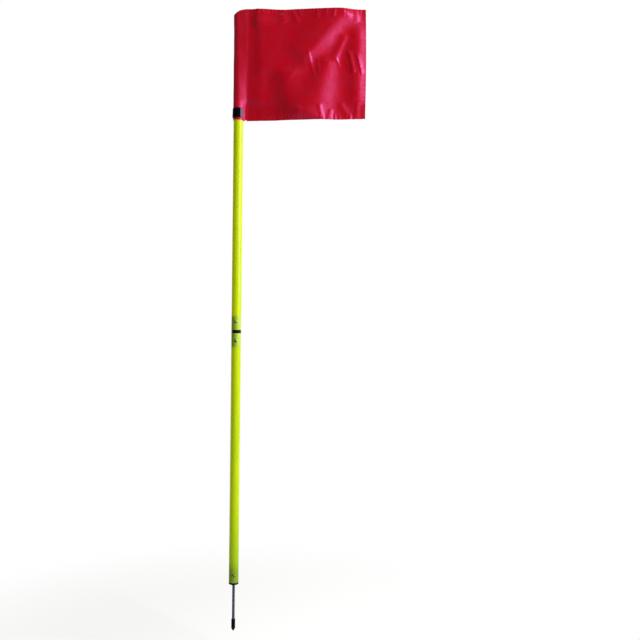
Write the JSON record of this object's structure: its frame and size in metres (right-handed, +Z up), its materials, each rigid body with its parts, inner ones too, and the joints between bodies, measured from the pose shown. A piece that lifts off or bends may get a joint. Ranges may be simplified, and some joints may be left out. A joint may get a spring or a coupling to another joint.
{
  "type": "slalom pole",
  "caption": "Two-section plastic slalom pole with a screw joint, a clipped cloth flag, and a steel ground spike with a tip protector.",
  "frame": {"origin": "on the pole's axis at the flat underside of the foot plug, where the pole stands on the ground and the spike enters it", "axes": "+Z up the pole; +X towards the flag; the rivets face -Y"},
  "size_m": [0.3428, 0.0395, 1.6039],
  "materials": {
    "neon_tube": "semi-gloss neon yellow-green plastic",
    "black_plug": "moulded, slightly shiny",
    "spike_steel": "zinc plated",
    "protector_rubber": "satin",
    "rivet_aluminium": "bright",
    "rivet_pin_steel": "zinc plated",
    "gloss_clip": "high gloss",
    "flag_cloth": "thin nylon with a soft sheen"
  },
  "bodies": {
    "lower_section": {"lower_tube": "neon_tube", "socket_plug": "black_plug", "foot_plug": "black_plug", "ground_spike": "spike_steel", "socket_rivet": "rivet_aluminium", "socket_rivet_pin": "rivet_pin_steel", "foot_rivet": "rivet_aluminium", "foot_rivet_pin": "rivet_pin_steel"},
    "protector": {"tip_protector": "protector_rubber"},
    "cap": {"top_cap": "black_plug"},
    "upper_section": {"upper_tube": "neon_tube", "spigot_plug": "black_plug", "spigot_rivet": "rivet_aluminium", "spigot_rivet_pin": "rivet_pin_steel"},
    "clip": {"flag_clip": "gloss_clip"},
    "flag": {"flag_sleeve": "flag_cloth", "flag_panel": "flag_cloth"}
  },
  "joints": [
    {"name": "protector_pull", "type": "slide", "parent": "lower_section", "child": "protector", "axis": [0, 0, -1], "range_m": [0, 0.045]},
    {"name": "section_rise", "type": "slide", "parent": "lower_section", "child": "cap", "axis": [0, 0, 1], "range_m": [0, 0.02]},
    {"name": "section_turn", "type": "hinge", "parent": "cap", "child": "upper_section", "pos_m": [0, 0, 0.6533], "axis": [0, 0, 1], "range_deg": [0, 1800]},
    {"name": "flag_swivel", "type": "hinge", "parent": "upper_section", "child": "clip", "pos_m": [0, 0, 1.2], "axis": [0, 0, 1], "continuous": true},
    {"name": "flag_lift", "type": "slide", "parent": "clip", "child": "flag", "axis": [0, 0, 1], "range_m": [0, 0.33]}
  ],
  "couplings": [
    {"joint": "section_rise", "follows": "section_turn", "m_per_rad": 0.00063662}
  ]
}
